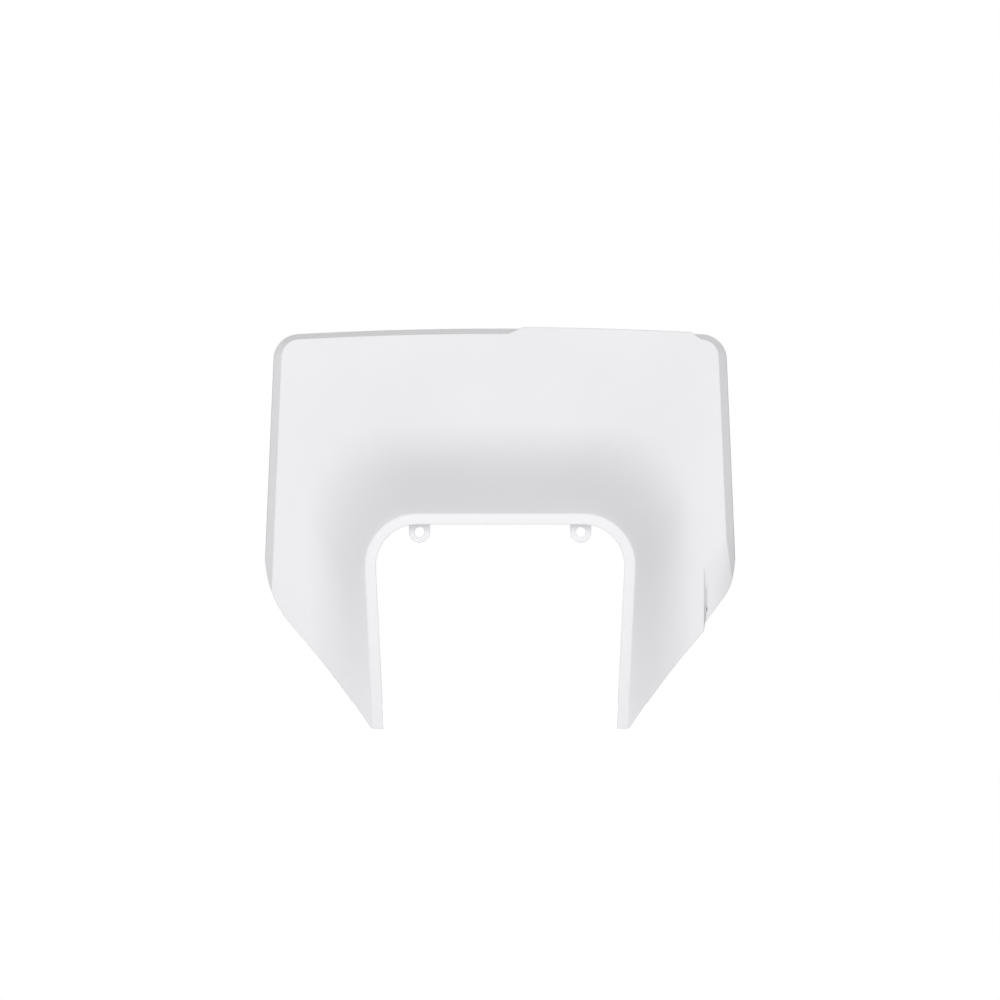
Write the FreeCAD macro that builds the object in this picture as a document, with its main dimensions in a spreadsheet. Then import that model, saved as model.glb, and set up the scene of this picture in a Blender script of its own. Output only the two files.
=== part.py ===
import FreeCAD, Part
import math
import os
import Sketcher

NODE = "headlight_number_plate"

# Frame: X to the viewer's right, Y towards the rider, Z up. The origin lies midway
# between the two screw-tab holes, on the rear faces of the tabs.

# Driving sizes in millimetres, or degrees where the note says so.
SIZES = (
    ("tab_spacing", 88.8, "screw-tab hole to screw-tab hole"),
    ("tab_width", 11.6, "screw tab, side to side"),
    ("tab_hole", 5.5, "clear hole in a screw tab, across"),
    ("tab_thick", 3.0, "screw tab, front to back"),
    ("opening_top", 4.2, "tab holes up to the top edge of the lamp opening"),
    ("opening_width", 139.0, "lamp opening across its top edge, corners left square"),
    ("opening_taper", 2.8, "degrees the opening's sides close in going down"),
    ("opening_round", 22.7, "radius of the opening's upper corners"),
    ("lip_width", 6.0, "flat lip round the lamp opening"),
    ("lip_reach", 16.0, "lip's front face ahead of the tabs' rear faces"),
    ("lip_round", 0.4, "rounding of the lip along the lamp opening"),
    ("lip_blend", 1.0, "rounding of the lip where the hood leaves it"),
    ("foot_drop", 108.5, "tab holes down to the feet"),
    ("wall", 2.7, "moulded wall"),
    ("panel_top", 109.9, "tab holes up to the panel's top crease"),
    ("panel_width", 251.0, "panel, crease to crease, where it is widest"),
    ("widest_drop", 17.0, "tab holes down to the level of that width"),
    ("panel_spread", 2.2, "degrees the panel's sides spread going down"),
    ("panel_round", 10.0, "radius of the panel's upper corners"),
    ("crown_radius", 1960.0, "arch of the panel's top crease"),
    ("panel_back", 36.0, "lip's front face back to the panel, level with the tab holes"),
    ("lean", 14.0, "degrees the flat panel leans back"),
    ("hood_rise", 50.0, "lip's outer edge up to where the hood meets the panel"),
    ("hood_spread", 34.5, "lip's outer edge out to where the hood meets the panel"),
    ("flare_share", 0.93, "part of the hood's depth taken by its curl, the rest being an even slope"),
    ("flare_round", 19.0, "extra corner radius where the hood meets the panel"),
    ("edge_width", 4.5, "turned-back edge, outward from the crease"),
    ("edge_depth", 6.0, "turned-back edge, behind the crease"),
    ("brow_start", 4.5, "middle to the raised brow's inner end"),
    ("brow_stop", 11.5, "panel's side in to the raised brow's outer end"),
    ("brow_height", 3.8, "raised brow above the crease"),
    ("brow_ramp", 8.0, "sloping run at each end of the brow"),
    ("corner_drop", 12.0, "tab holes down to where the lower corner starts"),
    ("corner_round", 60.0, "radius of the lower corner"),
    ("sweep_round", 500.0, "hollow sweep of the edge from lower corner to foot"),
    ("foot_half", 69.0, "middle to the outer end of the flat foot"),
    ("foot_round", 3.5, "radius at the tip of the foot"),
    ("scoop_start", 13.0, "panel's side in to the step of the scoop"),
    ("scoop_drop", 18.8, "tab holes down to the top of the step"),
    ("scoop_rise", 51.8, "degrees the scoop's fold climbs going outward"),
    ("scoop_length", 31.0, "height of the step"),
    ("scoop_depth", 3.4, "depth of the step at its lower end"),
    ("scoop_round", 33.0, "radius of the lower corner at the scoop"),
    ("scoop_corner_drop", 16.5, "tab holes down to where that corner starts"),
    ("scoop_edge_angle", 37.0, "degrees the scoop's lower edge stands off the upright"),
    ("hook_rise", 50.0, "tab holes up to the middle of the strap hooks"),
    ("hook_outer", 11.5, "panel's side in to an outer strap hook"),
    ("hook_inner", 35.5, "panel's side in to an inner strap hook"),
    ("hook_length", 11.0, "strap hook, from the panel's back to its end"),
    ("hook_height", 9.0, "strap hook, bottom to top"),
    ("hook_thick", 3.0, "post and bar of a strap hook"),
    ("hook_bar", 9.0, "bar across the end of a strap hook"),
)

# Where the hood's cross sections are drawn, as parts of its way from lip to panel. The last
# one lies just behind the panel's face, so that the hood crosses the face at a slight angle.
STATIONS = (0.0, 0.2, 0.4, 0.7, 1.0, 1.1)
LAST = len(STATIONS) - 1

doc = FreeCAD.newDocument("headlight_number_plate_build")
dims = doc.addObject("Spreadsheet::Sheet", "dims")
for row, (alias, value, note) in enumerate(SIZES, start=1):
    dims.set("A%d" % row, note)
    dims.set("B%d" % row, str(value))
    dims.setAlias("B%d" % row, alias)
flare = doc.addObject("Spreadsheet::Sheet", "flare")
doc.recompute()


def derive(alias, formula):
    """Add one worked-out value to the flare sheet."""
    row = derive.rows = getattr(derive, "rows", 0) + 1
    flare.set("A%d" % row, alias)
    flare.set("B%d" % row, "=" + formula)
    flare.setAlias("B%d" % row, alias)


def number(expression):
    """Value of an expression as a plain number."""
    value = dims.evalExpression(expression)
    return float(getattr(value, "Value", value))


def derive_section(kind, k, base, tilt, top, half, radius):
    """Plane and main sizes of one cross section."""
    derive("%s_tilt_%d" % (kind, k), tilt)
    derive("%s_base_%d" % (kind, k), base)
    derive("%s_top_%d" % (kind, k), "(%s) / cos(%s_tilt_%d)" % (top, kind, k))
    derive("%s_half_%d" % (kind, k), half)
    derive("%s_round_%d" % (kind, k), radius)


def derive_skin(k, way):
    """Outer cross section: its depth is a part of the panel's depth at every level."""
    curl = min(way, 1.0)
    derive("reach_%d" % k, "(1 - dims.flare_share) * %s + dims.flare_share"
           " * %s * (1.5 + 1.5 * %s - 3.5 * %s^2 + 1.5 * %s^3)" % (way, curl, curl, curl, curl))
    derive("taper_%d" % k, "dims.opening_taper - (dims.opening_taper + dims.panel_spread)"
           " * %s * dims.hood_spread / out_side" % way)
    derive("high_%d" % k, "rim_top + %s * dims.hood_rise" % way)
    derive_section("skin", k, "reach_%d * dims.panel_back - dims.lip_reach" % k,
                   "atan(reach_%d * tan(dims.lean))" % k, "high_%d" % k,
                   "rim_half + %s * dims.hood_spread" % way,
                   "dims.opening_round + dims.lip_width + dims.flare_round"
                   " * (1 - (1 - %s)^2)" % curl)


def derive_core(k, way):
    """Inner cross section: one wall in from the outer one, measured square to the skin."""
    curl = min(way, 1.0)
    derive("steep_%d" % k, "1 - dims.flare_share + dims.flare_share"
           " * 1.5 * (1 - %s)^2 * (1 + 4 * %s)" % (curl, curl))
    derive("slope_top_%d" % k, "atan(steep_%d * (dims.panel_back + high_%d * tan(dims.lean))"
           " / dims.hood_rise + reach_%d * tan(dims.lean))" % (k, k, k))
    derive("slope_side_%d" % k, "atan(steep_%d * deep_side / dims.hood_spread)" % k)
    inset_top = "dims.wall * sin(slope_top_%d)" % k
    inset_side = "dims.wall * sin(slope_side_%d)" % k
    derive("set_top_%d" % k, "dims.wall * cos(slope_top_%d)" % k)
    derive("set_side_%d" % k, "dims.wall * cos(slope_side_%d)" % k)
    tilt = ("atan(tan(skin_tilt_%d) + (set_top_%d - set_side_%d + tan(skin_tilt_%d) * %s)"
            " / (high_%d - %s + dims.widest_drop))" % (k, k, k, k, inset_top, k, inset_top))
    base = ("skin_base_%d + set_side_%d + dims.widest_drop * (tan(core_tilt_%d)"
            " - tan(skin_tilt_%d))" % (k, k, k, k))
    if k == 0:
        inset_top = "dims.wall * tan(slope_top_0 / 2)"
        inset_side = "dims.wall * tan(slope_side_0 / 2)"
        tilt, base = "skin_tilt_0", "skin_base_0 + dims.wall"
    if k == LAST:
        tilt, base = "panel_tilt", "skin_base_%d + dims.wall / cos(dims.lean)" % k
    derive_section("core", k, base, tilt, "high_%d - (%s)" % (k, inset_top),
                   "skin_half_%d - %s" % (k, inset_side), "skin_round_%d - %s" % (k, inset_side))


def derive_flare():
    """Work out every cross section of the hood and the panel from the driving sizes."""
    derive("rim_top", "dims.opening_top + dims.lip_width")
    derive("rim_half", "dims.opening_width / 2 + dims.lip_width / cos(dims.opening_taper)"
           " - (dims.opening_top + dims.widest_drop) * tan(dims.opening_taper)")
    derive("panel_half", "dims.panel_width / 2")
    derive("panel_base", "dims.panel_back - dims.lip_reach")
    derive("panel_tilt", "dims.lean * 1 deg")
    derive("crease_top", "dims.panel_top / cos(dims.lean)")
    derive("out_side", "panel_half - rim_half")
    derive("deep_side", "dims.panel_back - dims.widest_drop * tan(dims.lean)")
    derive("deep_top", "dims.panel_back + dims.panel_top * tan(dims.lean)")
    derive("edge_spread", "dims.edge_width / dims.edge_depth")
    derive("edge_slant", "sqrt(1 + edge_spread^2)")
    derive("brow_end", "panel_half - dims.brow_stop")
    derive("step_side", "panel_half - dims.scoop_start")
    for k, way in enumerate(STATIONS):
        derive_skin(k, way)
        derive_core(k, way)


derive_flare()
doc.recompute()


def sketch_across(name, base, tilt="0 deg"):
    """Sketch seen from the front, its plane leaning back by tilt through Y = base at Z = 0."""
    sketch = doc.addObject("Sketcher::SketchObject", name)
    upright = FreeCAD.Rotation(FreeCAD.Vector(1, 0, 0), 90 - number(tilt))
    sketch.Placement = FreeCAD.Placement(FreeCAD.Vector(0, number(base), 0), upright)
    sketch.setExpression("Placement.Rotation.Angle", "90 deg - " + tilt)
    sketch.setExpression("Placement.Base.y", base)
    return sketch


def sketch_along(name, across):
    """Sketch seen from the right-hand side, at X = across; its own x is Y, its y is Z."""
    sketch = doc.addObject("Sketcher::SketchObject", name)
    sideways = FreeCAD.Rotation(FreeCAD.Vector(1, 1, 1), 120)
    sketch.Placement = FreeCAD.Placement(FreeCAD.Vector(number(across), 0, 0), sideways)
    sketch.setExpression("Placement.Base.x", across)
    return sketch


def bind(sketch, constraint, name, expression):
    """Add a sized constraint and tie it to an expression."""
    index = sketch.addConstraint(constraint)
    sketch.renameConstraint(index, name)
    sketch.setExpression("Constraints." + name, expression)


def bind_x(sketch, geometry, point, name, expression):
    size = Sketcher.Constraint("DistanceX", -1, 1, geometry, point, number(expression))
    bind(sketch, size, name, expression)


def bind_y(sketch, geometry, point, name, expression):
    size = Sketcher.Constraint("DistanceY", -1, 1, geometry, point, number(expression))
    bind(sketch, size, name, expression)


def join(sketch, chain, smooth=()):
    """Close a chain of edges end to start; the joints after the smooth ones run on without a kink."""
    for first, second in zip(chain, chain[1:] + chain[:1]):
        manner = "Tangent" if first in smooth else "Coincident"
        sketch.addConstraint(Sketcher.Constraint(manner, first, 2, second, 1))


def line(sketch, start, end):
    start_point = FreeCAD.Vector(start[0], start[1], 0)
    end_point = FreeCAD.Vector(end[0], end[1], 0)
    return sketch.addGeometry(Part.LineSegment(start_point, end_point))


def arc(sketch, centre, radius, start, end):
    """Arc turning left from the start angle to the end angle, in degrees."""
    circle = Part.Circle(FreeCAD.Vector(centre[0], centre[1], 0), FreeCAD.Vector(0, 0, 1), radius)
    return sketch.addGeometry(
        Part.ArcOfCircle(circle, math.radians(start), math.radians(end)))


def draw_arch(sketch, top, half, level, foot, bottom, radius, crown=None):
    """Closed arch: a straight or crowned top, two round corners and two straight legs."""
    half_now, level_now = number(half), number(level)
    foot_now, bottom_now = number(foot), number(bottom)
    top_now, radius_now = number(top), number(radius)
    lean_now = math.atan2(half_now - foot_now, level_now - bottom_now)
    centre_y = top_now - radius_now
    reach = radius_now / math.cos(lean_now)
    centre_x = half_now + (centre_y - level_now) * math.tan(lean_now) - reach
    lean_angle = math.degrees(lean_now)
    crown_angle = 0
    if crown:
        crown_now = number(crown)
        crown_angle = math.degrees(math.asin(centre_x / (crown_now - radius_now)))
        centre_y = top_now - crown_now + (crown_now - radius_now) * math.cos(
            math.radians(crown_angle))
    leg_top_x = centre_x + radius_now * math.cos(lean_now)
    leg_top_y = centre_y - radius_now * math.sin(lean_now)
    right_leg = line(sketch, (foot_now, bottom_now), (leg_top_x, leg_top_y))
    right_corner = arc(sketch, (centre_x, centre_y), radius_now, -lean_angle, 90 - crown_angle)
    if crown:
        lid = arc(sketch, (0, top_now - crown_now), crown_now, 90 - crown_angle, 90 + crown_angle)
    else:
        lid = line(sketch, (centre_x, top_now), (-centre_x, top_now))
    left_corner = arc(sketch, (-centre_x, centre_y), radius_now,
                      90 + crown_angle, 180 + lean_angle)
    left_leg = line(sketch, (-leg_top_x, leg_top_y), (-foot_now, bottom_now))
    base = line(sketch, (-foot_now, bottom_now), (foot_now, bottom_now))
    mark = sketch.addGeometry(Part.Point(FreeCAD.Vector(half_now, level_now, 0)), True)
    join(sketch, [right_leg, right_corner, lid, left_corner, left_leg, base],
         smooth=(right_leg, right_corner))
    sketch.addConstraint([
        Sketcher.Constraint("Symmetric", right_leg, 1, left_leg, 2, -2),
        Sketcher.Constraint("Symmetric", right_leg, 2, left_leg, 1, -2),
        Sketcher.Constraint("Symmetric", right_corner, 2, left_corner, 1, -2),
        Sketcher.Constraint("Equal", right_corner, left_corner),
        Sketcher.Constraint("PointOnObject", mark, 1, right_leg),
    ])
    bind(sketch, Sketcher.Constraint("Radius", right_corner, radius_now), "corner", radius)
    bind_x(sketch, mark, 1, "half", half)
    bind_y(sketch, mark, 1, "level", level)
    bind_x(sketch, right_leg, 1, "foot", foot)
    bind_y(sketch, right_leg, 1, "bottom", bottom)
    if crown:
        bind(sketch, Sketcher.Constraint("Radius", lid, crown_now), "crown", crown)
        rise = "%s - (%s)" % (crown, top)
        height = Sketcher.Constraint("DistanceY", lid, 3, -1, 1, number(rise))
        bind(sketch, height, "top", rise)
    else:
        bind_y(sketch, lid, 1, "top", top)


def draw_polygon(sketch, corners):
    """Closed straight-sided outline; each corner is a pair of expressions."""
    points = [(number(x), number(y)) for x, y in corners]
    edges = [line(sketch, a, b) for a, b in zip(points, points[1:] + points[:1])]
    join(sketch, edges)
    for k, (x, y) in enumerate(corners):
        bind_x(sketch, edges[k], 1, "corner_%d_x" % k, x)
        bind_y(sketch, edges[k], 1, "corner_%d_y" % k, y)


def section(kind, k, below):
    """Cross section k of the outer skin or of the hollow core."""
    tilt = "flare.%s_tilt_%d" % (kind, k)
    half = "flare.%s_half_%d" % (kind, k)
    sketch = sketch_across("%s_%d" % (kind, k), "flare.%s_base_%d" % (kind, k), tilt)
    bottom = "(dims.foot_drop + %s)" % below
    draw_arch(sketch, "flare.%s_top_%d" % (kind, k), half,
              "-dims.widest_drop / cos(%s)" % tilt,
              "%s - (%s - dims.widest_drop) * tan(flare.taper_%d)" % (half, bottom, k),
              "-%s / cos(%s)" % (bottom, tilt), "flare.%s_round_%d" % (kind, k))
    return sketch


def edge_section(name, behind, outward, below):
    """Arch parallel to the panel's face, so far behind it and grown outward from its crease."""
    base = "flare.panel_base + (%s) / cos(dims.lean)" % behind
    sketch = sketch_across(name, base, "flare.panel_tilt")
    bottom = "(dims.foot_drop + %s)" % below
    half = "flare.panel_half + %s" % outward
    draw_arch(sketch, "flare.crease_top + %s - (%s) * tan(dims.lean)" % (outward, behind),
              half, "-dims.widest_drop / cos(dims.lean)",
              "%s + (%s - dims.widest_drop) * tan(dims.panel_spread)" % (half, bottom),
              "-%s / cos(dims.lean)" % bottom, "dims.panel_round + %s" % outward,
              "dims.crown_radius + %s" % outward)
    return sketch


def loft(name, sections, ruled):
    feature = doc.addObject("Part::Loft", name)
    feature.Sections = sections
    feature.Solid = True
    feature.Ruled = ruled
    feature.MaxDegree = 3
    return feature


def extrude(name, sketch, ahead, behind):
    """Extrusion of a sketch seen from the front: so far ahead of it and so far behind it."""
    feature = doc.addObject("Part::Extrusion", name)
    feature.Base = sketch
    feature.DirMode = "Normal"
    feature.Solid = True
    feature.setExpression("LengthFwd", ahead)
    feature.setExpression("LengthRev", behind)
    return feature


def fuse(name, shapes):
    feature = doc.addObject("Part::MultiFuse", name)
    feature.Shapes = shapes
    return feature


def cut(name, base, tool):
    feature = doc.addObject("Part::Cut", name)
    feature.Base = base
    feature.Tool = tool
    return feature


# Outer form: the hood, the flat panel with its turned-back edge, and the brow on the right.
skin = [section("skin", k, 8) for k in range(len(STATIONS))]
core = [section("core", k, 16) for k in range(len(STATIONS))]
crease = edge_section("crease", "0", "0", 10)
edge_end = edge_section("edge_end", "dims.edge_depth", "dims.edge_width", 10)
doc.recompute()
hood = loft("hood", skin, False)
panel = loft("panel", [crease, edge_end], True)

brow_sketch = sketch_across("brow_outline", "flare.panel_base", "flare.panel_tilt")


def draw_brow(sketch):
    """Brow outline: an arched top with a ramp at each end, its foot sunk inside the panel."""
    crease = "flare.crease_top"
    low = "%s - 2 * dims.brow_height" % crease
    ramp_low = "%s - 1.3 * dims.brow_height" % crease
    corners = [("dims.brow_start - dims.brow_ramp", "%s - dims.brow_height" % crease),
               ("dims.brow_start - dims.brow_ramp", low),
               ("flare.brow_end", low), ("flare.brow_end", ramp_low)]
    points = [(number(x), number(y)) for x, y in corners]
    outer = number("dims.crown_radius + dims.brow_height")
    middle = number(crease) - number("dims.crown_radius")
    turns = [math.acos(number(x) / outer) for x in
             ("dims.brow_start + dims.brow_ramp", "flare.brow_end - dims.brow_ramp")]
    tops = [(outer * math.cos(turn), middle + outer * math.sin(turn)) for turn in turns]
    edges = [line(sketch, points[0], points[1]), line(sketch, points[1], points[2]),
             line(sketch, points[2], points[3]), line(sketch, points[3], tops[1])]
    top = arc(sketch, (0, middle), outer, math.degrees(turns[1]), math.degrees(turns[0]))
    inner_ramp = line(sketch, tops[0], points[0])
    join(sketch, edges + [top, inner_ramp])
    for k, (x, y) in enumerate(corners):
        bind_x(sketch, edges[k], 1, "corner_%d_x" % k, x)
        bind_y(sketch, edges[k], 1, "corner_%d_y" % k, y)
    bind_x(sketch, top, 1, "top_stop", "flare.brow_end - dims.brow_ramp")
    bind_x(sketch, inner_ramp, 1, "top_start", "dims.brow_start + dims.brow_ramp")
    bind(sketch, Sketcher.Constraint("Radius", top, outer), "arch",
         "dims.crown_radius + dims.brow_height")
    drop = "dims.crown_radius - %s" % crease
    bind(sketch, Sketcher.Constraint("DistanceY", top, 3, -1, 1, number(drop)), "middle", drop)


draw_brow(brow_sketch)
brow = extrude("brow", brow_sketch, "0 mm", "dims.edge_depth")
outer_form = fuse("outer_form", [hood, panel, brow])


def draw_lower_edge(sketch, sign):
    """Waste beyond the lower corner, the swept edge and the foot on one side."""
    corner, tip = number("dims.corner_round"), number("dims.foot_round")
    sweep = number("dims.sweep_round")
    side, start = number("flare.panel_half + dims.edge_width"), -number("dims.corner_drop")
    foot, tip_x = -number("dims.foot_drop"), number("dims.foot_half")
    far, deep = side + 20, foot - 30
    first, second = (side - corner, start), (tip_x, foot + tip)
    run, fall = second[0] - first[0], first[1] - second[1]
    heading = math.degrees(math.asin((corner - tip) / math.hypot(run, fall)) - math.atan2(run, fall))
    turn = math.degrees(math.hypot(run, fall) / sweep) / 2
    leave, land = heading + turn, heading - turn

    def on(centre, radius, angle):
        bend = math.radians(angle)
        return (centre[0] + radius * math.cos(bend), centre[1] - radius * math.sin(bend))

    hub = on(on(first, corner, leave), sweep, leave)

    def place(point):
        return (sign * point[0], point[1])

    def bend(centre, radius, from_angle, to_angle):
        if sign < 0:
            from_angle, to_angle = 180 - to_angle, 180 - from_angle
        return arc(sketch, place(centre), radius, from_angle, to_angle)

    ledge = line(sketch, place((far, start)), place((side, start)))
    corner_arc = bend(first, corner, -leave, 0)
    sweep_arc = bend(hub, sweep, 180 - leave, 180 - land)
    tip_arc = bend(second, tip, -90, -land)
    sole = line(sketch, place((tip_x, foot)), place((0, foot)))
    middle = line(sketch, place((0, foot)), place((0, deep)))
    under = line(sketch, place((0, deep)), place((far, deep)))
    outside = line(sketch, place((far, deep)), place((far, start)))
    late, early = (2, 1) if sign > 0 else (1, 2)
    sketch.addConstraint([
        Sketcher.Constraint("Coincident", ledge, 2, corner_arc, late),
        Sketcher.Constraint("Tangent", corner_arc, early, sweep_arc, early),
        Sketcher.Constraint("Tangent", sweep_arc, late, tip_arc, late),
        Sketcher.Constraint("Tangent", tip_arc, early, sole, 1),
        Sketcher.Constraint("Coincident", sole, 2, middle, 1),
        Sketcher.Constraint("Coincident", middle, 2, under, 1),
        Sketcher.Constraint("Coincident", under, 2, outside, 1),
        Sketcher.Constraint("Coincident", outside, 2, ledge, 1),
        Sketcher.Constraint("Horizontal", ledge),
        Sketcher.Constraint("Horizontal", sole),
        Sketcher.Constraint("Horizontal", under),
        Sketcher.Constraint("Vertical", middle),
        Sketcher.Constraint("Vertical", outside),
        Sketcher.Constraint("Horizontal", corner_arc, 3, corner_arc, late),
    ])
    flip = "" if sign > 0 else "-"
    bind(sketch, Sketcher.Constraint("Radius", corner_arc, corner), "corner", "dims.corner_round")
    bind(sketch, Sketcher.Constraint("Radius", sweep_arc, sweep), "sweep", "dims.sweep_round")
    bind(sketch, Sketcher.Constraint("Radius", tip_arc, tip), "tip", "dims.foot_round")
    bind_x(sketch, ledge, 2, "side", flip + "(flare.panel_half + dims.edge_width)")
    bind_y(sketch, ledge, 2, "start", "-dims.corner_drop")
    bind_x(sketch, ledge, 1, "far", flip + "(flare.panel_half + dims.edge_width + 20)")
    bind_x(sketch, sole, 1, "foot", flip + "dims.foot_half")
    bind_y(sketch, sole, 1, "drop", "-dims.foot_drop")
    bind_x(sketch, middle, 1, "middle", "0 mm")
    bind_y(sketch, under, 1, "deep", "-dims.foot_drop - 30")


lower_cuts = []
for side, sign in (("left", -1), ("right", 1)):
    sketch = sketch_across("lower_edge_" + side, "-dims.lip_reach")
    draw_lower_edge(sketch, sign)
    lower_cuts.append(extrude("lower_cut_" + side, sketch, "10 mm",
                              "flare.deep_top + dims.edge_depth * 2"))


def draw_scoop_edge(sketch):
    """Waste beyond the scoop's own tighter corner, out from the step."""
    corner, angle = number("dims.scoop_round"), number("dims.scoop_edge_angle")
    side, start = number("flare.panel_half + dims.edge_width"), -number("dims.scoop_corner_drop")
    step, far, deep = number("flare.step_side"), side + 20, -number("dims.foot_drop")
    bend = math.radians(angle)
    leave = (side - corner + corner * math.cos(bend), start - corner * math.sin(bend))
    land = (step, leave[1] - (leave[0] - step) / math.tan(bend))
    ledge = line(sketch, (far, start), (side, start))
    corner_arc = arc(sketch, (side - corner, start), corner, -angle, 0)
    slope = line(sketch, land, leave)
    drop = line(sketch, land, (step, deep))
    under = line(sketch, (step, deep), (far, deep))
    outside = line(sketch, (far, deep), (far, start))
    sketch.addConstraint([
        Sketcher.Constraint("Coincident", ledge, 2, corner_arc, 2),
        Sketcher.Constraint("Tangent", corner_arc, 1, slope, 2),
        Sketcher.Constraint("Coincident", slope, 1, drop, 1),
        Sketcher.Constraint("Coincident", drop, 2, under, 1),
        Sketcher.Constraint("Coincident", under, 2, outside, 1),
        Sketcher.Constraint("Coincident", outside, 2, ledge, 1),
        Sketcher.Constraint("Horizontal", ledge),
        Sketcher.Constraint("Vertical", drop),
        Sketcher.Constraint("Horizontal", under),
        Sketcher.Constraint("Vertical", outside),
        Sketcher.Constraint("Horizontal", corner_arc, 3, corner_arc, 2),
    ])
    bind(sketch, Sketcher.Constraint("Radius", corner_arc, corner), "corner", "dims.scoop_round")
    bind(sketch, Sketcher.Constraint("Angle", slope, math.pi / 2 - bend), "lean",
         "90 deg - dims.scoop_edge_angle * 1 deg")
    bind_x(sketch, ledge, 2, "side", "flare.panel_half + dims.edge_width")
    bind_y(sketch, ledge, 2, "start", "-dims.scoop_corner_drop")
    bind_x(sketch, ledge, 1, "far", "flare.panel_half + dims.edge_width + 20")
    bind_x(sketch, drop, 1, "step", "flare.step_side")
    bind_y(sketch, under, 1, "deep", "-dims.foot_drop")


scoop_edge = sketch_across("scoop_edge", "-dims.lip_reach")
draw_scoop_edge(scoop_edge)
lower_cuts.append(extrude("scoop_edge_cut", scoop_edge, "10 mm",
                          "flare.deep_top + dims.edge_depth * 2"))
outline_waste = fuse("outline_waste", lower_cuts)
outline = cut("outline", outer_form, outline_waste)

# Hollow form: one wall inside the outer form, open at the back and the bottom.
hood_hollow = loft("hood_hollow", core, False)
inside = "(%s * flare.edge_spread - dims.wall * flare.edge_slant)"
hollow_front = edge_section("hollow_front", "dims.wall", inside % "dims.wall", 18)
hollow_end = edge_section("hollow_end", "dims.edge_depth * 1.5", inside % "dims.edge_depth * 1.5", 18)
doc.recompute()
panel_hollow = loft("panel_hollow", [hollow_front, hollow_end], True)
hollow_all = fuse("hollow_all", [hood_hollow, panel_hollow])

# Screw tabs, left standing in the hollow and hanging from the hood's roof.
tabs = []
for side, sign in (("left", "-"), ("right", "")):
    sketch = sketch_across("tab_outline_" + side, "0 mm")
    middle = "%sdims.tab_spacing / 2" % sign
    middle_now, half_now, top_now = number(middle), number("dims.tab_width / 2"), 40.0
    right_side = line(sketch, (middle_now + half_now, 0), (middle_now + half_now, top_now))
    lid = line(sketch, (middle_now + half_now, top_now), (middle_now - half_now, top_now))
    left_side = line(sketch, (middle_now - half_now, top_now), (middle_now - half_now, 0))
    end = arc(sketch, (middle_now, 0), half_now, 180, 360)
    join(sketch, [right_side, lid, left_side, end], smooth=(left_side, end))
    sketch.addConstraint([
        Sketcher.Constraint("Vertical", right_side),
        Sketcher.Constraint("Vertical", left_side),
        Sketcher.Constraint("Horizontal", lid),
        Sketcher.Constraint("PointOnObject", end, 3, -1),
    ])
    bind(sketch, Sketcher.Constraint("Radius", end, half_now), "end_round", "dims.tab_width / 2")
    bind_x(sketch, end, 3, "middle", middle)
    bind_y(sketch, lid, 1, "root", "flare.rim_top + dims.hood_rise / 2")
    tabs.append(extrude("tab_" + side, sketch, "dims.tab_thick", "0 mm"))

# Strap hooks, T-shaped from above, rooted in the panel's wall and standing out behind it.
derive("hook_root", "panel_base + dims.hook_rise * tan(dims.lean) + dims.wall / 2 / cos(dims.lean)")
derive("hook_end", "hook_root + dims.wall / 2 / cos(dims.lean) + dims.hook_length")
doc.recompute()
hooks = []
for side, sign in (("left", "-"), ("right", "")):
    for place in ("outer", "inner"):
        middle = "%s(flare.panel_half - dims.hook_%s)" % (sign, place)
        for bit, width, start in (
                ("post", "dims.hook_thick", "flare.hook_root"),
                ("bar", "dims.hook_bar", "flare.hook_end - dims.hook_thick")):
            block = doc.addObject("Part::Box", "hook_%s_%s_%s" % (side, place, bit))
            block.setExpression("Length", width)
            block.setExpression("Width", "flare.hook_end - (%s)" % start)
            block.setExpression("Height", "dims.hook_height")
            block.setExpression("Placement.Base.x", "%s - %s / 2" % (middle, width))
            block.setExpression("Placement.Base.y", start)
            block.setExpression("Placement.Base.z", "dims.hook_rise - dims.hook_height / 2")
            hooks.append(block)

# Scoop at the lower right: a facet folded back from the panel, one wall thick.
derive("scoop_tilt", "tan(dims.lean)")
derive("scoop_back", "panel_base - dims.scoop_drop * scoop_tilt")
derive("scoop_fall", "dims.scoop_depth / dims.scoop_length")
derive("scoop_slope", "scoop_fall * tan(dims.scoop_rise)")
derive("scoop_wall", "dims.wall * sqrt(1 + scoop_slope^2 + (scoop_tilt - scoop_fall)^2)")
derive("scoop_stop", "panel_half + 2 * dims.edge_width")
doc.recompute()


def scoop_section(name, across, front, behind):
    """Slice of the scoop at X = across, from front to behind the folded plane."""
    out = "(%s - flare.step_side)" % across
    high = "(dims.scoop_length / 4 - dims.scoop_drop + %s * tan(dims.scoop_rise))" % out
    low = "(-dims.scoop_drop - 2 * dims.scoop_length)"
    plane = ("(flare.scoop_back + %s * flare.scoop_slope + (%s + dims.scoop_drop)"
             " * (flare.scoop_tilt - flare.scoop_fall))")
    sketch = sketch_along(name, across)
    back_high, back_low = plane % (out, high), plane % (out, low)
    draw_polygon(sketch, [("%s - %s" % (back_low, front), low),
                          ("%s + %s" % (back_low, behind), low),
                          ("%s + %s" % (back_high, behind), high),
                          ("%s - %s" % (back_high, front), high)])
    return sketch


scoop_skin = loft("scoop_skin", [
    scoop_section("scoop_skin_near", "flare.step_side - dims.wall", "0", "flare.scoop_wall"),
    scoop_section("scoop_skin_far", "flare.scoop_stop", "0", "flare.scoop_wall")], True)
scoop_cut = loft("scoop_cut", [
    scoop_section("scoop_cut_near", "flare.step_side", "dims.panel_back / 2", "0"),
    scoop_section("scoop_cut_far", "flare.scoop_stop", "dims.panel_back / 2", "0")], True)

keep = fuse("keep", tabs + [scoop_skin])
hollow = cut("hollow", hollow_all, keep)
shell = cut("shell", outline, hollow)

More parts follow.
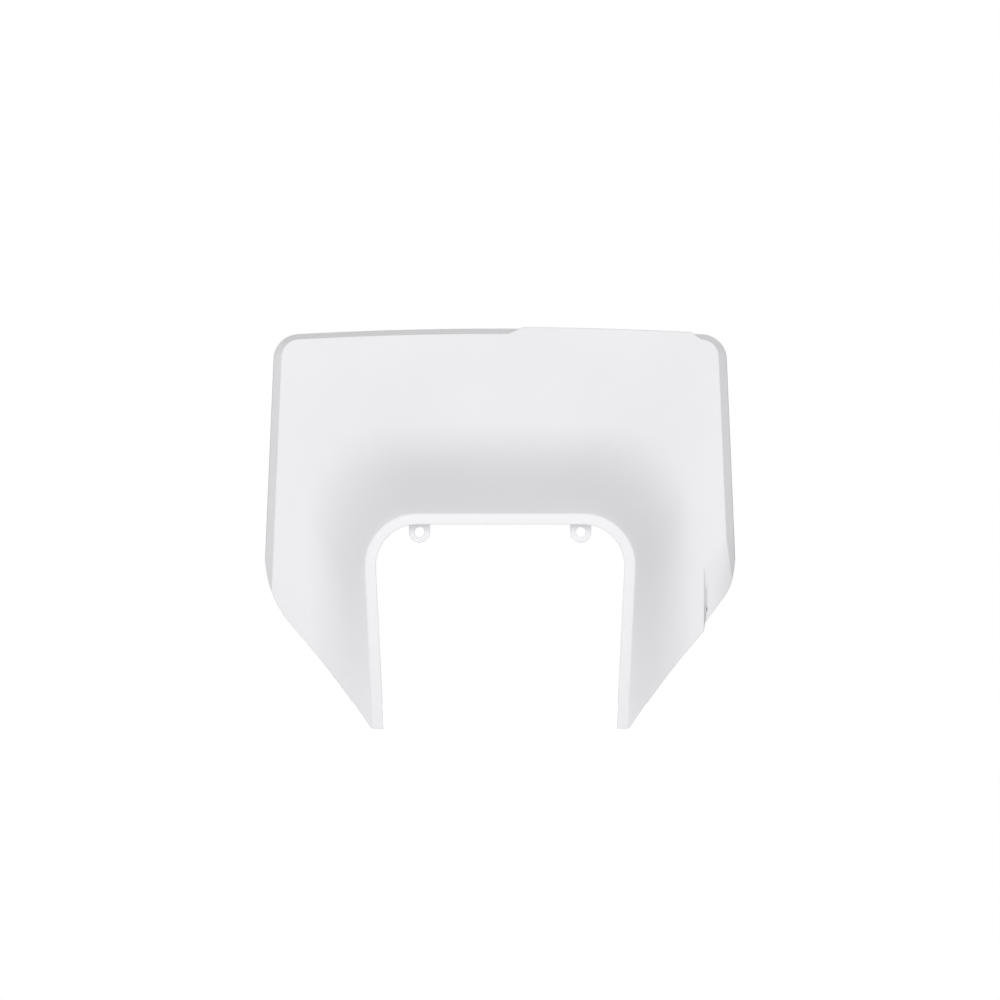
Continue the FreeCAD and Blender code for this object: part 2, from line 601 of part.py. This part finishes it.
# Cut from the front: the lamp opening, the scoop and the tab holes.
opening_sketch = sketch_across("opening_outline", "-dims.lip_reach")
opening_half = ("dims.opening_width / 2 - (dims.opening_top + %s)"
                " * tan(dims.opening_taper)")
draw_arch(opening_sketch, "dims.opening_top", opening_half % "dims.widest_drop",
          "-dims.widest_drop", opening_half % "(dims.foot_drop + 16)",
          "-(dims.foot_drop + 16)", "dims.opening_round")
opening = extrude("opening", opening_sketch, "2 mm", "dims.wall * 1.5")

holes = []
for side, sign in (("left", "-"), ("right", "")):
    hole = doc.addObject("Part::Cylinder", "tab_bore_" + side)
    backward = FreeCAD.Rotation(FreeCAD.Vector(1, 0, 0), -90)
    hole.Placement = FreeCAD.Placement(FreeCAD.Vector(0, 0, 0), backward)
    hole.setExpression("Radius", "dims.tab_hole / 2")
    hole.setExpression("Height", "dims.tab_thick * 2")
    hole.setExpression("Placement.Base.x", "%sdims.tab_spacing / 2" % sign)
    hole.setExpression("Placement.Base.y", "-dims.tab_thick * 1.5")
    holes.append(hole)

waste = fuse("waste", [opening, scoop_cut] + holes)
open_shell = cut("open_shell", shell, waste)
moulding = fuse("moulding", [open_shell] + hooks)
doc.recompute()


def follows(edge, sketch):
    """True for an edge whose middle lies on the outline drawn in a sketch."""
    half_way = (edge.FirstParameter + edge.LastParameter) / 2
    middle = Part.Vertex(edge.valueAt(half_way))
    return middle.distToShape(sketch.Shape)[0] < 1e-3


# Round both edges of the lip: finely along the lamp opening, softly where the hood leaves it.
plate = doc.addObject("Part::Fillet", "plate")
plate.Base = moulding
rounded = []
for sketch, size in ((opening_sketch, "dims.lip_round"), (skin[0], "dims.lip_blend")):
    radius = number(size)
    rounded += [(k, radius, radius) for k, edge in enumerate(moulding.Shape.Edges, start=1)
                if follows(edge, sketch)]
plate.Edges = rounded
doc.recompute()

for item in doc.Objects:
    broken = [word for word in item.State if word in ("Invalid", "Error")]
    if broken:
        raise RuntimeError("%s did not build: %s" % (item.Name, item.State))
    if hasattr(item, "Shape") and (item.Shape.isNull() or not item.Shape.isValid()):
        raise RuntimeError("%s has no good shape" % item.Name)

plate.Label = NODE
os.makedirs("parts", exist_ok=True)
plate.Shape.exportStep("parts/%s.step" % NODE)
box = plate.Shape.optimalBoundingBox()
print("solids", len(plate.Shape.Solids), "volume", plate.Shape.Volume)
print("box", box.XMin, box.XMax, box.YMin, box.YMax, box.ZMin, box.ZMax)
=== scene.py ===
import math

import bmesh
import bpy
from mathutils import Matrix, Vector


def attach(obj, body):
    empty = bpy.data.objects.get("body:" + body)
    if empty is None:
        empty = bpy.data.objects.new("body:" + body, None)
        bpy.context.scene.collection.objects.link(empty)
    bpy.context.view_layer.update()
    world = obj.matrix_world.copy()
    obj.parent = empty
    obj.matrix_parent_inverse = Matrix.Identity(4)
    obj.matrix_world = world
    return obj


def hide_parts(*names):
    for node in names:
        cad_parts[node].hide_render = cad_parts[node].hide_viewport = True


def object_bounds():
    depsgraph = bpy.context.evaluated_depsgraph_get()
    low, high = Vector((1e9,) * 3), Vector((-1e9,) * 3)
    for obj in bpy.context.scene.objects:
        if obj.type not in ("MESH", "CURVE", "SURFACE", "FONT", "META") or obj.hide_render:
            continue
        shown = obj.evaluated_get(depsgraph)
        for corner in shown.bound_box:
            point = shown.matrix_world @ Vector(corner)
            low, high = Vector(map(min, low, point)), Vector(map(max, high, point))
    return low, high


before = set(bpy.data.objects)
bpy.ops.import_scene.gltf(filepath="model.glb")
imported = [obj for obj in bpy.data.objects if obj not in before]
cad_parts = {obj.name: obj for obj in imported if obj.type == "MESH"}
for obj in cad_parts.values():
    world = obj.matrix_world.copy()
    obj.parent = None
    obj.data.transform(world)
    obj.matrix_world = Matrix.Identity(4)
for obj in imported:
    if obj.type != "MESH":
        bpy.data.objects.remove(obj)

MM = 0.001
CAD_BOX = [list(corner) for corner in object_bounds()]
NODE = "headlight_number_plate"

# the skin: corners nearer than the gap become one, and bends below the angle are shaded smooth
MERGE_GAP = 5e-6
SOFT_ANGLE = math.radians(28)

# the scoop at the lower right, as the solid has it: a sheet that folds back from the panel along a
# line up from the step's top, and ends behind the panel, about one wall in from the step
STEP_TOP = Vector((0.1125, 0.01531, -0.0188))
FOLD_TURN = math.radians(51.8)
AWAY_FROM_FOLD = Vector((math.sin(FOLD_TURN), 0.0, -math.cos(FOLD_TURN)))
AWAY_FROM_STEP = Vector((1.0, 0.0, 0.0))
PANEL_LEAN = math.tan(math.radians(14.0))
SCOOP_FALL = 0.0034 / 0.031
SCOOP_SLOPE = SCOOP_FALL * math.tan(FOLD_TURN)
SHEET_TUCK = 0.0028
PANEL_WALL = 0.00278        # straight back through the leaning panel
PAST_PANEL = 0.0029         # further behind the panel's front than this, only the sheet is left

# measured from the fold: where the slit behind the step opens, and the plate's lower edge
SLIT_START = 0.0156
LOWER_EDGE = 0.0197

# a point this near to a plane of the solid, or to the step, is on it
ON_PLANE = 3e-5
ON_STEP = 5e-5

# the further bend of the sheet: the lines it is cut along, its soft start and how steep it gets
CUT_FROM = 0.1096
CUTS_FROM_FOLD_MM = (0.0, 1.0, 2.5, 4.5, 7.0, 10.0, 13.0, 16.0)
CUTS_FROM_STEP_MM = (2.5, 5.0, 7.5, 10.0, 12.5, 15.0)
SOFT_START = 0.0025
BEND_SLOPE = 0.09
BEND_CURL = 6.0e4
FOOT_SLOPE = 0.13

EDGE_ROUNDING = 0.0008
DEEPER_WHITE = (0.845, 0.846, 0.862, 1)
PALER_WHITE = (0.865, 0.866, 0.880, 1)
PLAIN_WHITE = (1, 1, 1, 1)
FLOOR_GAP = 0.0005
SENSOR_WIDTH = 36.0
LIGHT_AIM = Vector((0.0, 0.0, 0.0))


def add_piece(name, shape):
    """Puts a finished shape into the scene as an object of its own."""
    mesh = bpy.data.meshes.new(name)
    shape.to_mesh(mesh)
    shape.free()
    piece = bpy.data.objects.new(name, mesh)
    bpy.context.scene.collection.objects.link(piece)
    return piece


def place_on_scoop(spot):
    """How far a point of the skin is past the step and the fold, and behind the panel and the scoop."""
    way = spot - STEP_TOP
    behind_panel = way.y - way.z * PANEL_LEAN
    behind_scoop = way.y - way.x * SCOOP_SLOPE - way.z * (PANEL_LEAN - SCOOP_FALL)
    return way.x, way.dot(AWAY_FROM_FOLD), behind_panel, behind_scoop


def cut_scoop(shell, way, cuts):
    """Cuts the scoop's faces along lines across a direction, so that they can bend there."""
    for cut in cuts:
        faces = [face for face in shell.faces
                 if min(vert.co.x for vert in face.verts) > CUT_FROM
                 and max((vert.co - STEP_TOP).dot(AWAY_FROM_FOLD) for vert in face.verts) > 0.0]
        edges = list(dict.fromkeys(edge for face in faces for edge in face.edges))
        verts = list(dict.fromkeys(vert for face in faces for vert in face.verts))
        bmesh.ops.bisect_plane(shell, geom=verts + edges + faces, dist=1e-6,
                               plane_co=STEP_TOP + way * cut * MM, plane_no=way)


def bend_scoop_back(shell):
    """Curves the scoop's facet back towards the plate's edge, more the further it is from the fold."""
    cut_scoop(shell, AWAY_FROM_FOLD, CUTS_FROM_FOLD_MM)
    cut_scoop(shell, AWAY_FROM_STEP, CUTS_FROM_STEP_MM)
    for vert in shell.verts:
        past_step, past_fold, behind_panel, behind_scoop = place_on_scoop(vert.co)
        if past_fold < 0.0 or past_step < -SHEET_TUCK:
            continue
        on_front = abs(behind_scoop) < ON_PLANE
        on_sheet = on_front or behind_panel > PAST_PANEL
        in_slit = past_fold > SLIT_START and abs(behind_panel - PANEL_WALL) < ON_PLANE
        if not on_sheet and past_step < ON_STEP:
            if not in_slit:
                continue
            # the slit between the panel's back and the scoop is closed, so the step is one solid wall
            vert.co.y -= behind_scoop
        slope = BEND_SLOPE + BEND_CURL * max(past_step, 0.0) ** 3
        vert.co.y += past_fold ** 2 / (past_fold + SOFT_START) * slope
        on_foot = abs(past_step) < ON_STEP and (on_front or in_slit)
        if on_foot and past_fold < LOWER_EDGE:
            # the step's wall slopes out to its foot, and ends upright at the plate's lower edge
            vert.co.x += FOOT_SLOPE * past_fold * (1.0 - (past_fold / LOWER_EDGE) ** 4)


def moulded_shell():
    """The plate's own skin, with its loose triangles joined and its soft bends shaded smooth."""
    shell = bmesh.new()
    shell.from_mesh(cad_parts[NODE].data)
    bmesh.ops.remove_doubles(shell, verts=shell.verts, dist=MERGE_GAP)
    bend_scoop_back(shell)
    for face in shell.faces:
        face.smooth = True
    for edge in shell.edges:
        edge.smooth = edge.is_manifold and edge.calc_face_angle(0.0) < SOFT_ANGLE
    return add_piece("moulded_shell", shell)


def satin_white_plastic():
    """Injection-moulded white plastic: even, satin, with a faint grain and slight flow marks."""
    finish = bpy.data.materials.new("satin_white_plastic")
    finish.use_nodes = True
    tree = finish.node_tree
    shader = tree.nodes["Principled BSDF"]
    shader.inputs["IOR"].default_value = 1.49

    place = tree.nodes.new("ShaderNodeTexCoord")
    flow = tree.nodes.new("ShaderNodeTexNoise")
    flow.inputs["Scale"].default_value = 14.0
    flow.inputs["Detail"].default_value = 3.0
    tree.links.new(place.outputs["Object"], flow.inputs["Vector"])
    tint = tree.nodes.new("ShaderNodeValToRGB")
    tint.color_ramp.elements[0].position = 0.35
    tint.color_ramp.elements[0].color = DEEPER_WHITE
    tint.color_ramp.elements[1].position = 0.65
    tint.color_ramp.elements[1].color = PALER_WHITE
    tree.links.new(flow.outputs["Fac"], tint.inputs["Fac"])
    tree.links.new(tint.outputs["Color"], shader.inputs["Base Color"])
    sheen = tree.nodes.new("ShaderNodeMapRange")
    sheen.inputs["From Min"].default_value = 0.3
    sheen.inputs["From Max"].default_value = 0.7
    sheen.inputs["To Min"].default_value = 0.38
    sheen.inputs["To Max"].default_value = 0.46
    tree.links.new(flow.outputs["Fac"], sheen.inputs["Value"])
    tree.links.new(sheen.outputs["Result"], shader.inputs["Roughness"])

    grain = tree.nodes.new("ShaderNodeTexNoise")
    grain.inputs["Scale"].default_value = 1400.0
    grain.inputs["Detail"].default_value = 2.0
    tree.links.new(place.outputs["Object"], grain.inputs["Vector"])
    bump = tree.nodes.new("ShaderNodeBump")
    bump.inputs["Strength"].default_value = 0.05
    bump.inputs["Distance"].default_value = 0.0002
    tree.links.new(grain.outputs["Fac"], bump.inputs["Height"])
    rounded_edges = tree.nodes.new("ShaderNodeBevel")
    rounded_edges.samples = 8
    rounded_edges.inputs["Radius"].default_value = EDGE_ROUNDING
    tree.links.new(rounded_edges.outputs["Normal"], bump.inputs["Normal"])
    tree.links.new(bump.outputs["Normal"], shader.inputs["Normal"])
    return finish


def pale_floor(glow, seen_glow):
    """Plain floor under the plate's feet: it glows a little, and the camera sees it white."""
    low = CAD_BOX[0][2]
    floor = bmesh.new()
    bmesh.ops.create_grid(floor, x_segments=1, y_segments=1, size=1.0)
    bmesh.ops.translate(floor, verts=floor.verts, vec=(0.0, 0.0, low - FLOOR_GAP))
    piece = add_piece("floor", floor)
    finish = bpy.data.materials.new("pale_floor")
    finish.use_nodes = True
    tree = finish.node_tree
    shader = tree.nodes["Principled BSDF"]
    shader.inputs["Base Color"].default_value = (0.9, 0.9, 0.9, 1)
    shader.inputs["Roughness"].default_value = 0.8
    shader.inputs["Emission Color"].default_value = PLAIN_WHITE
    path = tree.nodes.new("ShaderNodeLightPath")
    lift = tree.nodes.new("ShaderNodeMapRange")
    lift.inputs["To Min"].default_value = glow
    lift.inputs["To Max"].default_value = seen_glow
    tree.links.new(path.outputs["Is Camera Ray"], lift.inputs["Value"])
    tree.links.new(lift.outputs["Result"], shader.inputs["Emission Strength"])
    piece.data.materials.append(finish)


def soft_box(name, place, size, power):
    """Large square light aimed at the plate."""
    lamp = bpy.data.lights.new(name, "AREA")
    lamp.size = size
    lamp.energy = power
    light = bpy.data.objects.new(name, lamp)
    light.location = place
    light.rotation_euler = (LIGHT_AIM - Vector(place)).to_track_quat("-Z", "Y").to_euler()
    bpy.context.scene.collection.objects.link(light)


def white_surround(glow, seen_glow):
    """White seen by the camera, a softer glow on the plate."""
    world = bpy.data.worlds.new("white_surround")
    world.use_nodes = True
    bpy.context.scene.world = world
    tree = world.node_tree
    ambient = tree.nodes["Background"]
    ambient.inputs["Color"].default_value = PLAIN_WHITE
    ambient.inputs["Strength"].default_value = glow
    seen = tree.nodes.new("ShaderNodeBackground")
    seen.inputs["Color"].default_value = PLAIN_WHITE
    seen.inputs["Strength"].default_value = seen_glow
    path = tree.nodes.new("ShaderNodeLightPath")
    mix = tree.nodes.new("ShaderNodeMixShader")
    tree.links.new(path.outputs["Is Camera Ray"], mix.inputs["Fac"])
    tree.links.new(ambient.outputs["Background"], mix.inputs[1])
    tree.links.new(seen.outputs["Background"], mix.inputs[2])
    tree.links.new(mix.outputs["Shader"], tree.nodes["World Output"].inputs["Surface"])


def front_camera(distance, across, centre):
    """Long lens straight from the front; across is the width of view at the plate."""
    lens = bpy.data.cameras.new("front_camera")
    lens.sensor_width = SENSOR_WIDTH
    lens.lens = SENSOR_WIDTH * distance / across
    lens.clip_end = 100.0
    camera = bpy.data.objects.new("front_camera", lens)
    camera.location = (centre[0], centre[1] - distance, centre[2])
    camera.rotation_euler = (math.radians(90), 0.0, 0.0)
    bpy.context.scene.collection.objects.link(camera)
    bpy.context.scene.camera = camera


plate = moulded_shell()
plate.data.materials.append(satin_white_plastic())
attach(plate, "root")
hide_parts(NODE)

pale_floor(glow=0.06, seen_glow=0.7)
white_surround(glow=0.46, seen_glow=1.0)
soft_box("front_light", place=(0.0, -2.2, 0.1), size=1.6, power=32.4)
soft_box("left_light", place=(-2.0, -1.2, 0.3), size=1.2, power=3.5)
soft_box("back_light", place=(0.5, 2.2, 0.8), size=1.4, power=14.0)
front_camera(distance=8.0, across=0.5532, centre=(-0.0001, 0.03, 0.0177))
bpy.context.scene.view_settings.view_transform = "Standard"
